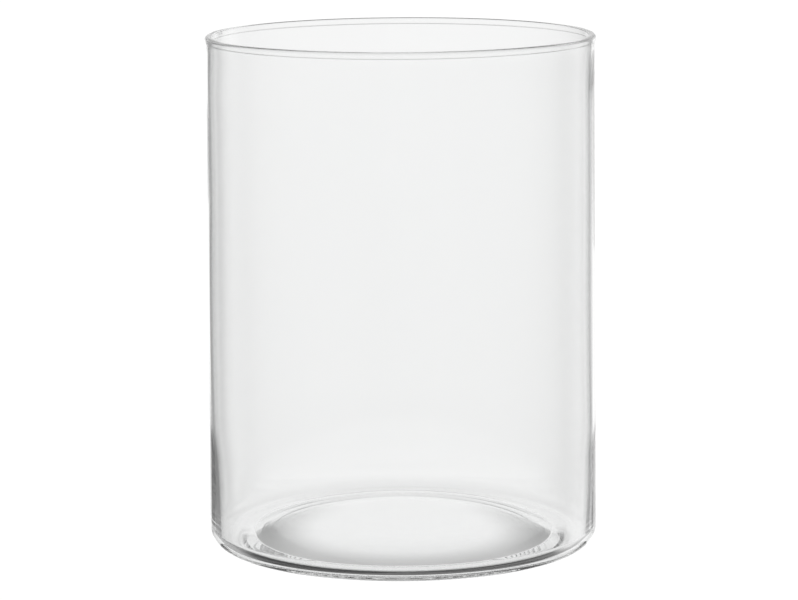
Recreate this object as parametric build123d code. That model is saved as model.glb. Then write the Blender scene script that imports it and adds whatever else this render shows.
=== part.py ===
from build123d import *
import os

# Glass cylinder vase: one piece of mould-blown glass, a body of revolution about Z.
# Millimetres. The origin is at the centre of the foot, on the surface the vase stands on, +Z up.

# Wall: it draws in very slightly from the heel to the lip, and it thickens towards the floor below its waist.
HEIGHT = 250.0
HEEL_WALL_RADIUS = 95.05
MOUTH_WALL_RADIUS = 93.7
MOUTH_BORE_RADIUS = 91.7
WAIST_BORE_RADIUS = 92.2
WAIST_HEIGHT = 55.0
WAIST_ROUNDING = 400.0
FLOOR_BORE_RADIUS = 90.7

# Lip: the fire-polished rim, a rounded band that is thicker than the wall.
LIP_OUTER_RADIUS = 94.4
LIP_INNER_RADIUS = 91.0
LIP_HEIGHT = 3.2
LIP_LAND_HEIGHT = 2.9
LIP_OUTER_ROUNDING = 1.5
LIP_INNER_ROUNDING = 0.9
LIP_BLEND = 0.2

# Heel and foot: the glass stands on a flat ring, and the underside is pushed up inside it.
HEEL_ROUNDING = 8.7
FOOT_RING_INNER_RADIUS = 73.2
FOOT_RING_ROUNDING = 1.0
PUSH_UP_HEIGHT = 4.3
PUSH_UP_POWER = 6

# Floor: crowned over the push-up, and turned up into the wall by the inner heel.
FLOOR_CENTRE_HEIGHT = 8.8
FLOOR_EDGE_HEIGHT = 4.2
FLOOR_EDGE_RADIUS = 82.0
FLOOR_EDGE_ROUNDING = 8.0
FLOOR_POWER = 4
INNER_HEEL_ROUNDING = 5.0

CROWN_POINTS = 9


def crown(edge_radius, edge_height, centre_height, power):
    """A shallow crown from the axis out to its edge: flat in the middle and steepest at the edge."""
    rise = centre_height - edge_height
    shares = [step / (CROWN_POINTS - 1) for step in range(CROWN_POINTS)]
    points = [(edge_radius * share, edge_height + rise * (1 - share**power)) for share in shares]
    return Spline(*points, tangents=[(1, 0), (1, -power * rise / edge_radius)])


def corner(face, radius, height):
    """The vertex of a half section nearest to the given radius and height."""
    return min(face.vertices(), key=lambda v: (v.X - radius) ** 2 + (v.Z - height) ** 2)


def outline():
    """Half section of the glass with sharp corners, from the axis out, up and back in."""
    land_bottom = HEIGHT - LIP_LAND_HEIGHT
    lip_bottom = HEIGHT - LIP_HEIGHT
    with BuildLine(Plane.XZ) as line:
        crown(FOOT_RING_INNER_RADIUS, 0, PUSH_UP_HEIGHT, PUSH_UP_POWER)
        Polyline(
            (FOOT_RING_INNER_RADIUS, 0),
            (HEEL_WALL_RADIUS, 0),
            (MOUTH_WALL_RADIUS, lip_bottom),
            (LIP_OUTER_RADIUS, land_bottom),
            (LIP_OUTER_RADIUS, HEIGHT),
            (LIP_INNER_RADIUS, HEIGHT),
            (LIP_INNER_RADIUS, land_bottom),
            (MOUTH_BORE_RADIUS, lip_bottom),
            (WAIST_BORE_RADIUS, WAIST_HEIGHT),
            (FLOOR_BORE_RADIUS, FLOOR_EDGE_HEIGHT),
            (FLOOR_EDGE_RADIUS, FLOOR_EDGE_HEIGHT),
        )
        crown(FLOOR_EDGE_RADIUS, FLOOR_EDGE_HEIGHT, FLOOR_CENTRE_HEIGHT, FLOOR_POWER)
        Line((0, PUSH_UP_HEIGHT), (0, FLOOR_CENTRE_HEIGHT))
    return make_face(line.edges())


def half_section():
    """The outline with the foot ring, the heel, the lip, the inner heel and the floor's edge rounded."""
    land_bottom = HEIGHT - LIP_LAND_HEIGHT
    lip_bottom = HEIGHT - LIP_HEIGHT
    roundings = [
        (FOOT_RING_INNER_RADIUS, 0, FOOT_RING_ROUNDING),
        (HEEL_WALL_RADIUS, 0, HEEL_ROUNDING),
        (LIP_OUTER_RADIUS, land_bottom, LIP_BLEND),
        (LIP_OUTER_RADIUS, HEIGHT, LIP_OUTER_ROUNDING),
        (LIP_INNER_RADIUS, HEIGHT, LIP_INNER_ROUNDING),
        (LIP_INNER_RADIUS, land_bottom, LIP_BLEND),
        (MOUTH_BORE_RADIUS, lip_bottom, LIP_BLEND),
        (WAIST_BORE_RADIUS, WAIST_HEIGHT, WAIST_ROUNDING),
        (FLOOR_BORE_RADIUS, FLOOR_EDGE_HEIGHT, INNER_HEEL_ROUNDING),
        (FLOOR_EDGE_RADIUS, FLOOR_EDGE_HEIGHT, FLOOR_EDGE_ROUNDING),
    ]
    face = outline()
    for radius, height, rounding in roundings:
        face = fillet(corner(face, radius, height), rounding)
    return face


def glass_vessel():
    """The whole vase: wall, lip, heel, foot ring and pushed-up floor in one piece of glass."""
    vessel = revolve(half_section(), Axis.Z)
    vessel.label = "glass_vessel"
    return vessel


os.makedirs("parts", exist_ok=True)
export_step(glass_vessel(), "parts/glass_vessel.step")
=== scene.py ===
"""Glass cylinder vase: the visual model, a pale floor, studio light and the camera. Metres, +Z up."""
import math

import bmesh
import bpy
from mathutils import Matrix, Vector


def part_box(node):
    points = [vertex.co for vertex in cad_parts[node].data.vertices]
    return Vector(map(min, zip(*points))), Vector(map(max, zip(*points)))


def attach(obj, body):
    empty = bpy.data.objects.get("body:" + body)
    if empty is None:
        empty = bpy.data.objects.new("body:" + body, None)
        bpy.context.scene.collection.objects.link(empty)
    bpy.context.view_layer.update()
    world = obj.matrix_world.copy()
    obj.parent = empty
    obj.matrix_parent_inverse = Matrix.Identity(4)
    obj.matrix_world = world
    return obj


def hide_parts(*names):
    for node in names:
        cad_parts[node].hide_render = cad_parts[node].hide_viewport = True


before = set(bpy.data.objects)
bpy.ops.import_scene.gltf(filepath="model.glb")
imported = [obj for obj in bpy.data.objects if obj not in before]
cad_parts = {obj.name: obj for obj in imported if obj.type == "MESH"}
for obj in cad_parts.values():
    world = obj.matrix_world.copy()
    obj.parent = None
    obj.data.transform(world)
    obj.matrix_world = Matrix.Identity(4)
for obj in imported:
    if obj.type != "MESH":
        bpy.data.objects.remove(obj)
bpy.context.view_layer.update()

# ---------------------------------------------------------------- sizes, in metres
MM = 0.001
VESSEL_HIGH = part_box("glass_vessel")[1]
HEIGHT = VESSEL_HIGH.z
HEEL_WALL_RADIUS = VESSEL_HIGH.x
MOUTH_WALL_RADIUS = HEEL_WALL_RADIUS - 1.3 * MM
MOUTH_BORE_RADIUS = HEEL_WALL_RADIUS - 3.3 * MM
WAIST_BORE_RADIUS = HEEL_WALL_RADIUS - 2.8 * MM
FLOOR_BORE_RADIUS = HEEL_WALL_RADIUS - 4.3 * MM
WAIST_HEIGHT = 55.0 * MM
WAIST_ROUNDING = 400.0 * MM

LIP_OUTER_RADIUS = HEEL_WALL_RADIUS - 0.6 * MM
LIP_INNER_RADIUS = HEEL_WALL_RADIUS - 4.0 * MM
LIP_HEIGHT = 3.2 * MM
LIP_LAND_HEIGHT = 2.9 * MM
LIP_OUTER_ROUNDING = 1.5 * MM
LIP_INNER_ROUNDING = 0.9 * MM
LIP_BLEND = 0.2 * MM

HEEL_ROUNDING = 8.7 * MM
FOOT_RING_INNER_RADIUS = 73.2 * MM
FOOT_RING_ROUNDING = 1.0 * MM
PUSH_UP_HEIGHT = 4.3 * MM
PUSH_UP_POWER = 6
FLOOR_CENTRE_HEIGHT = 8.8 * MM
FLOOR_EDGE_HEIGHT = 4.2 * MM
FLOOR_EDGE_RADIUS = 82.0 * MM
FLOOR_POWER = 4
INNER_HEEL_ROUNDING = 5.0 * MM

# Mesh density of the lathe-turned vessel: segments around, and steps along each bend of its section.
SEGMENTS = 256
CROWN_STEPS = 40
FOOT_RING_STEPS = 8
HEEL_STEPS = 28
WAIST_STEPS = 12
LIP_STEPS = 12
OUTER_BLEND_STEPS = 4
INNER_BLEND_STEPS = 6
WALL_STEP = 4.0 * MM

# The blown inside of the wall wanders from true round, except close to the lip and the floor.
TRUE_BELOW_TOP = 5 * MM
TRUE_ABOVE_FOOT = 14 * MM
FADE_LENGTH = 30 * MM
SWAY_AT_FOOT = 0.1
SWAY_GAIN_AT_TOP = 0.5
# Waves in the wall: depth in millimetres, waves around, metres of height per radian of twist, phase.
WAVES = [(0.05, 2, 0.060, 0.6), (0.035, 3, -0.035, 2.1), (0.025, 5, 0.022, 0.0)]

# Seeds in the lip: degrees around, then depth below the top and radius in millimetres.
SEEDS = [(163.2, 1.6, 0.45), (165.0, 1.9, 0.35)]
SEED_SEGMENTS = 16
SEED_RINGS = 10


# ---------------------------------------------------------------- light, as (degrees, level) stops
PAGE_WHITE = 1.05
# Around: azimuth from straight behind the vase, for light that has bounced inside the glass.
AROUND = [
    (-180, 0.26), (-60, 0.30), (-29, 0.36), (-17, 0.36), (-15.5, 1.0), (22, 1.0),
    (24, 0.4), (31, 0.45), (40, 0.8), (50, 0.9), (68, 0.3), (180, 0.26),
]
# Up and down: elevation, for light that crosses one wall, and for light that crosses the whole vase.
UP_DOWN = [(-90, 0.1), (-38, 0.2), (-30, 0.95), (-15, 1.0), (12, 1.0), (35, 0.6), (90, 0.6)]
UP_DOWN_INSIDE = [
    (-90, 0.2), (-50, 0.5), (-30, 0.92), (-15, 1.0), (-4, 1.06), (10, 1.06), (40, 0.5), (90, 0.9),
]
# Under the vase: how deep the painted shade at the foot ring is, by the turn away from straight behind.
UNDER_VASE_SHADE = [(0, 0), (30, 0), (60, 0.6), (90, 0.85), (135, 0.4), (180, 0.4)]
UNDER_VASE_LEVEL = 0.97
UNDER_VASE_EVEN_RADIUS = 40 * MM
UNDER_VASE_SIDES = 96


# ---------------------------------------------------------------- the vessel's half section
def rounded_corner(before, corner, after, radius, steps):
    """Points of the arc of the given radius that rounds one corner of an outline."""
    to_before = (Vector(before) - Vector(corner)).normalized()
    to_after = (Vector(after) - Vector(corner)).normalized()
    half_angle = to_before.angle(to_after) / 2
    centre = Vector(corner) + (to_before + to_after).normalized() * (radius / math.sin(half_angle))
    start = Vector(corner) + to_before * (radius / math.tan(half_angle)) - centre
    end = Vector(corner) + to_after * (radius / math.tan(half_angle)) - centre
    turn = start.angle_signed(end)
    points = []
    for step in range(steps + 1):
        arm = start.copy()
        arm.rotate(Matrix.Rotation(-turn * step / steps, 2))
        points.append(tuple(centre + arm))
    return points


def rounded(corners):
    """An outline through (radius, height, rounding, steps) corners; the first and last are only its ends."""
    points = [corners[0][:2]]
    for before, corner, after in zip(corners, corners[1:], corners[2:]):
        points += rounded_corner(before[:2], corner[:2], after[:2], *corner[2:])
    return points + [corners[-1][:2]]


def crown(edge_radius, edge_height, centre_height, power):
    """Points of a shallow crown from the axis out: flat in the middle and steepest at its edge."""
    points = []
    for step in range(CROWN_STEPS + 1):
        share = step / CROWN_STEPS
        points.append((edge_radius * share, edge_height + (centre_height - edge_height) * (1 - share**power)))
    return points


def outside_section():
    """Half section of the outside: from the axis underneath, out over the foot ring, up, and over the lip."""
    underside = crown(FOOT_RING_INNER_RADIUS, 0.0, PUSH_UP_HEIGHT, PUSH_UP_POWER)[:-1]
    lip_bottom = HEIGHT - LIP_HEIGHT
    land_bottom = HEIGHT - LIP_LAND_HEIGHT
    turned = rounded([
        underside[-1],
        (FOOT_RING_INNER_RADIUS, 0.0, FOOT_RING_ROUNDING, FOOT_RING_STEPS),
        (HEEL_WALL_RADIUS, 0.0, HEEL_ROUNDING, HEEL_STEPS),
        (MOUTH_WALL_RADIUS, lip_bottom, LIP_BLEND, OUTER_BLEND_STEPS),
        (LIP_OUTER_RADIUS, land_bottom, LIP_BLEND, OUTER_BLEND_STEPS),
        (LIP_OUTER_RADIUS, HEIGHT, LIP_OUTER_ROUNDING, LIP_STEPS),
        (LIP_INNER_RADIUS, HEIGHT, LIP_INNER_ROUNDING, LIP_STEPS),
        (LIP_INNER_RADIUS, land_bottom, LIP_BLEND, INNER_BLEND_STEPS),
        (MOUTH_BORE_RADIUS, lip_bottom),
    ])
    return underside + turned[1:-1]


def inside_section():
    """Half section of the inside: from under the lip, down the bore and in over the floor to the axis."""
    lip_bottom = HEIGHT - LIP_HEIGHT
    floor = crown(FLOOR_EDGE_RADIUS, FLOOR_EDGE_HEIGHT, FLOOR_CENTRE_HEIGHT, FLOOR_POWER)
    turned = rounded([
        (LIP_INNER_RADIUS, HEIGHT - LIP_LAND_HEIGHT),
        (MOUTH_BORE_RADIUS, lip_bottom, LIP_BLEND, INNER_BLEND_STEPS),
        (WAIST_BORE_RADIUS, WAIST_HEIGHT, WAIST_ROUNDING, WAIST_STEPS),
        (FLOOR_BORE_RADIUS, FLOOR_EDGE_HEIGHT, INNER_HEEL_ROUNDING, HEEL_STEPS),
        floor[-1],
    ])
    return turned[1:-1] + floor[::-1]


def subdivided(points):
    """The same outline with its long straight runs cut into steps no longer than the wall step."""
    result = []
    for start, end in zip(points, points[1:]):
        pieces = math.ceil((Vector(end) - Vector(start)).length / WALL_STEP)
        result += [tuple(Vector(start).lerp(Vector(end), piece / pieces)) for piece in range(pieces)]
    return result + [points[-1]]


# ---------------------------------------------------------------- the vessel
def unevenness(angle, height):
    """How far the blown inside of the wall wanders from true round. It fades out at the lip and the floor."""
    below_top = (HEIGHT - TRUE_BELOW_TOP - height) / FADE_LENGTH
    above_foot = (height - TRUE_ABOVE_FOOT) / FADE_LENGTH
    share = max(0.0, min(1.0, below_top, above_foot))
    fade = share * share * (3 - 2 * share)
    wander = -(SWAY_AT_FOOT + SWAY_GAIN_AT_TOP * height / HEIGHT) * math.cos(angle)
    for depth, waves_around, rise, phase in WAVES:
        wander += depth * math.sin(waves_around * angle + height / rise + phase)
    return MM * fade * wander


def ring_of(turned, radius, height, swell):
    """One ring of vertices about Z, or a single vertex on the axis. Swell gives the change of radius."""
    if radius == 0:
        return [turned.verts.new((0, 0, height))]
    ring = []
    for segment in range(SEGMENTS):
        angle = 2 * math.pi * segment / SEGMENTS
        reach = radius + swell(angle, height)
        ring.append(turned.verts.new((reach * math.cos(angle), reach * math.sin(angle), height)))
    return ring


def skin(turned, lower, upper):
    """The faces between two neighbouring rings, either of which may be a single vertex."""
    for segment in range(SEGMENTS):
        following = (segment + 1) % SEGMENTS
        if len(lower) == 1:
            turned.faces.new((lower[0], upper[following], upper[segment]))
        elif len(upper) == 1:
            turned.faces.new((lower[segment], lower[following], upper[0]))
        else:
            turned.faces.new((lower[segment], lower[following], upper[following], upper[segment]))


def add_seed(turned, angle, radius, height, size):
    """A tiny air bubble in the glass: a closed sphere whose faces look inwards."""
    place = Matrix.Translation((radius * math.cos(angle), radius * math.sin(angle), height))
    made = bmesh.ops.create_uvsphere(
        turned, u_segments=SEED_SEGMENTS, v_segments=SEED_RINGS, radius=size, matrix=place
    )
    faces = {face for vertex in made["verts"] for face in vertex.link_faces}
    bmesh.ops.reverse_faces(turned, faces=list(faces))


def build_vessel():
    """The whole vase, turned from its half section, with the seeds in its lip."""
    turned = bmesh.new()
    rings = [ring_of(turned, *point, lambda angle, height: 0.0) for point in subdivided(outside_section())]
    rings += [ring_of(turned, *point, unevenness) for point in subdivided(inside_section())]
    for lower, upper in zip(rings, rings[1:]):
        skin(turned, lower, upper)
    middle_of_lip = (LIP_OUTER_RADIUS + LIP_INNER_RADIUS) / 2
    for around, below_top, size in SEEDS:
        add_seed(turned, math.radians(around), middle_of_lip, HEIGHT - below_top * MM, size * MM)
    for face in turned.faces:
        face.smooth = True
    mesh = bpy.data.meshes.new("vase_glass")
    turned.to_mesh(mesh)
    turned.free()
    mesh.materials.append(clear_glass())
    vessel = bpy.data.objects.new("vase_glass", mesh)
    bpy.context.scene.collection.objects.link(vessel)
    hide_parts("glass_vessel")
    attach(vessel, "root")


# ---------------------------------------------------------------- node helpers
def feed(tree, socket, value):
    """Set a socket to a number, or link another node's output to it."""
    if isinstance(value, (int, float)):
        socket.default_value = value
    else:
        tree.links.new(value, socket)


def add_math(tree, operation, *values):
    """A Math node; returns its output."""
    node = tree.nodes.new("ShaderNodeMath")
    node.operation = operation
    for socket, value in zip(node.inputs, values):
        feed(tree, socket, value)
    return node.outputs[0]


def add_curve(tree, value, low, high, stops):
    """A piecewise-linear curve of value through (position, level) stops."""
    node = tree.nodes.new("ShaderNodeValToRGB")
    feed(tree, node.inputs[0], add_math(tree, "DIVIDE", add_math(tree, "SUBTRACT", value, low), high - low))
    elements = node.color_ramp.elements
    elements.remove(elements[1])
    for index, (position, level) in enumerate(stops):
        place = (position - low) / (high - low)
        element = elements[0] if index == 0 else elements.new(place)
        element.position = place
        element.color = (level, level, level, 1)
    return node.outputs[0]


def add_mix(tree, factor, first, second):
    """First where factor is 0, second where it is 1."""
    node = tree.nodes.new("ShaderNodeMix")
    feed(tree, node.inputs["Factor"], factor)
    feed(tree, node.inputs["A"], first)
    feed(tree, node.inputs["B"], second)
    return node.outputs[0]


# ---------------------------------------------------------------- materials
def clear_glass():
    """Clear soda-lime glass, with faint cords in its colour."""
    material = bpy.data.materials.new("clear_glass")
    material.use_nodes = True
    tree = material.node_tree
    shader = tree.nodes["Principled BSDF"]
    shader.inputs["Transmission Weight"].default_value = 1.0
    shader.inputs["IOR"].default_value = 1.52
    shader.inputs["Roughness"].default_value = 0.0
    coordinates = tree.nodes.new("ShaderNodeTexCoord")
    stretched = tree.nodes.new("ShaderNodeMapping")
    stretched.inputs["Scale"].default_value = (1.0, 1.0, 0.25)
    tree.links.new(coordinates.outputs["Object"], stretched.inputs["Vector"])
    cords = tree.nodes.new("ShaderNodeTexNoise")
    cords.inputs["Scale"].default_value = 30.0
    cords.inputs["Detail"].default_value = 2.0
    tree.links.new(stretched.outputs["Vector"], cords.inputs["Vector"])
    tint = tree.nodes.new("ShaderNodeMix")
    tint.data_type = "RGBA"
    tint.inputs["A"].default_value = (0.974, 0.978, 0.977, 1)
    tint.inputs["B"].default_value = (0.984, 0.986, 0.985, 1)
    tree.links.new(cords.outputs["Fac"], tint.inputs["Factor"])
    tree.links.new(tint.outputs["Result"], shader.inputs["Base Color"])
    return material


def white_emission(name, level):
    """A white material that glows at the given level."""
    material = bpy.data.materials.new(name)
    material.use_nodes = True
    tree = material.node_tree
    tree.nodes.clear()
    emission = tree.nodes.new("ShaderNodeEmission")
    emission.inputs["Strength"].default_value = level
    output = tree.nodes.new("ShaderNodeOutputMaterial")
    tree.links.new(emission.outputs[0], output.inputs["Surface"])
    return material


# ---------------------------------------------------------------- stage
def flat_polygon(name, corners, height, material):
    """A level polygon of the stage at a height."""
    mesh = bpy.data.meshes.new(name)
    mesh.from_pydata([(*corner, height) for corner in corners], [], [tuple(range(len(corners)))])
    mesh.materials.append(material)
    polygon = bpy.data.objects.new(name, mesh)
    bpy.context.scene.collection.objects.link(polygon)
    return polygon


def build_floor():
    """The pale floor. The camera sees it; the glass sees the studio's light instead."""
    reach = 20.0
    height = -0.01 * MM
    corners = [(-reach, -reach), (reach, -reach), (reach, reach), (-reach, reach)]
    floor = flat_polygon("studio_floor", corners, height, white_emission("studio_white", PAGE_WHITE))
    floor.visible_transmission = False
    floor.visible_glossy = False
    floor.visible_diffuse = False


def under_vase_light(radius):
    """The glow of the floor under the push-up, with painted shade: even in the middle and behind, darker at
    the sides and in front.
    """
    material = white_emission("floor_under_vase", 1.0)
    tree = material.node_tree
    coordinates = tree.nodes.new("ShaderNodeTexCoord")
    parts = tree.nodes.new("ShaderNodeSeparateXYZ")
    tree.links.new(coordinates.outputs["Object"], parts.inputs[0])
    across = parts.outputs[0]
    along = parts.outputs[1]
    across_squared = add_math(tree, "MULTIPLY", across, across)
    along_squared = add_math(tree, "MULTIPLY", along, along)
    distance = add_math(tree, "SQRT", add_math(tree, "ADD", across_squared, along_squared))
    nearness = tree.nodes.new("ShaderNodeMapRange")
    nearness.interpolation_type = "SMOOTHSTEP"
    nearness.inputs["From Min"].default_value = UNDER_VASE_EVEN_RADIUS
    nearness.inputs["From Max"].default_value = radius
    tree.links.new(distance, nearness.inputs["Value"])
    turn = add_math(tree, "ARCTAN2", add_math(tree, "ABSOLUTE", across), along)
    degrees = add_math(tree, "MULTIPLY", turn, 180 / math.pi)
    depth = add_curve(tree, degrees, 0, 180, UNDER_VASE_SHADE)
    # Painted shade: the glow is lowered near the foot ring, most at the sides and in front.
    shade = add_math(tree, "MULTIPLY", nearness.outputs[0], depth)
    level = add_math(tree, "MULTIPLY", add_math(tree, "SUBTRACT", 1.0, shade), UNDER_VASE_LEVEL)
    tree.links.new(level, tree.nodes["Emission"].inputs["Strength"])
    return material


def build_floor_under_vase():
    """The glowing patch of floor that shows through the bottom of the vase, inside the foot ring, with
    painted shade.
    """
    radius = FOOT_RING_INNER_RADIUS - 0.5 * MM
    turns = [2 * math.pi * step / UNDER_VASE_SIDES for step in range(UNDER_VASE_SIDES)]
    corners = [(radius * math.cos(turn), radius * math.sin(turn)) for turn in turns]
    flat_polygon("floor_under_vase", corners, 0.0, under_vase_light(radius))


def studio_world():
    """White to the camera. To the glass: a bright backdrop behind the vase and dimmer light elsewhere."""
    world = bpy.data.worlds.new("studio")
    bpy.context.scene.world = world
    world.cycles.sampling_method = "NONE"
    world.use_nodes = True
    tree = world.node_tree
    tree.nodes.clear()
    coordinates = tree.nodes.new("ShaderNodeTexCoord")
    parts = tree.nodes.new("ShaderNodeSeparateXYZ")
    tree.links.new(coordinates.outputs["Generated"], parts.inputs[0])
    degrees = 180 / math.pi
    heading = add_math(tree, "ARCTAN2", parts.outputs[0], parts.outputs[1])
    azimuth = add_math(tree, "MULTIPLY", heading, degrees)
    elevation = add_math(tree, "MULTIPLY", add_math(tree, "ARCSINE", parts.outputs[2]), degrees)
    around = add_curve(tree, azimuth, -180, 180, AROUND)
    up_down = add_curve(tree, elevation, -90, 90, UP_DOWN)
    up_down_inside = add_curve(tree, elevation, -90, 90, UP_DOWN_INSIDE)
    # At the world, the ray depth is one more than the crossings and reflections on the way.
    # Light that crosses four surfaces has gone through both walls of the vase.
    path = tree.nodes.new("ShaderNodeLightPath")
    reflections = add_math(tree, "SUBTRACT", path.outputs["Ray Depth"], path.outputs["Transmission Depth"])
    reflected = add_math(tree, "GREATER_THAN", reflections, 1.5)
    through_vase = add_math(tree, "GREATER_THAN", path.outputs["Transmission Depth"], 3.5)
    level_around = add_mix(tree, reflected, 1.0, around)
    level_up_down = add_mix(tree, through_vase, up_down, up_down_inside)
    light = add_math(tree, "MULTIPLY", level_around, level_up_down)
    strength = add_mix(tree, path.outputs["Is Camera Ray"], light, PAGE_WHITE)
    background = tree.nodes.new("ShaderNodeBackground")
    background.inputs["Color"].default_value = (1, 1, 1, 1)
    output = tree.nodes.new("ShaderNodeOutputWorld")
    tree.links.new(strength, background.inputs["Strength"])
    tree.links.new(background.outputs[0], output.inputs["Surface"])


def build_camera():
    """A long lens, a little above the mouth, looking slightly down at the vase."""
    distance = 1.7578
    height = 0.4110
    pitch = 0.1642
    yaw = 0.00082
    roll = 0.0064
    data = bpy.data.cameras.new("camera")
    data.sensor_width = 36.0
    data.lens = 164.45
    camera = bpy.data.objects.new("camera", data)
    bpy.context.scene.collection.objects.link(camera)
    place = Matrix.Translation((0, -distance, height))
    aim = Matrix.Rotation(yaw, 4, "Z") @ Matrix.Rotation(math.pi / 2 - pitch, 4, "X")
    camera.matrix_world = place @ aim @ Matrix.Rotation(-roll, 4, "Z")
    bpy.context.scene.camera = camera


def set_look():
    """Plain view transform, and enough bounces for light to cross the glass many times."""
    scene = bpy.context.scene
    scene.view_settings.view_transform = "Standard"
    bounces = 48
    scene.cycles.max_bounces = bounces
    scene.cycles.transmission_bounces = bounces
    scene.cycles.glossy_bounces = bounces


build_vessel()
build_floor()
build_floor_under_vase()
studio_world()
build_camera()
set_look()
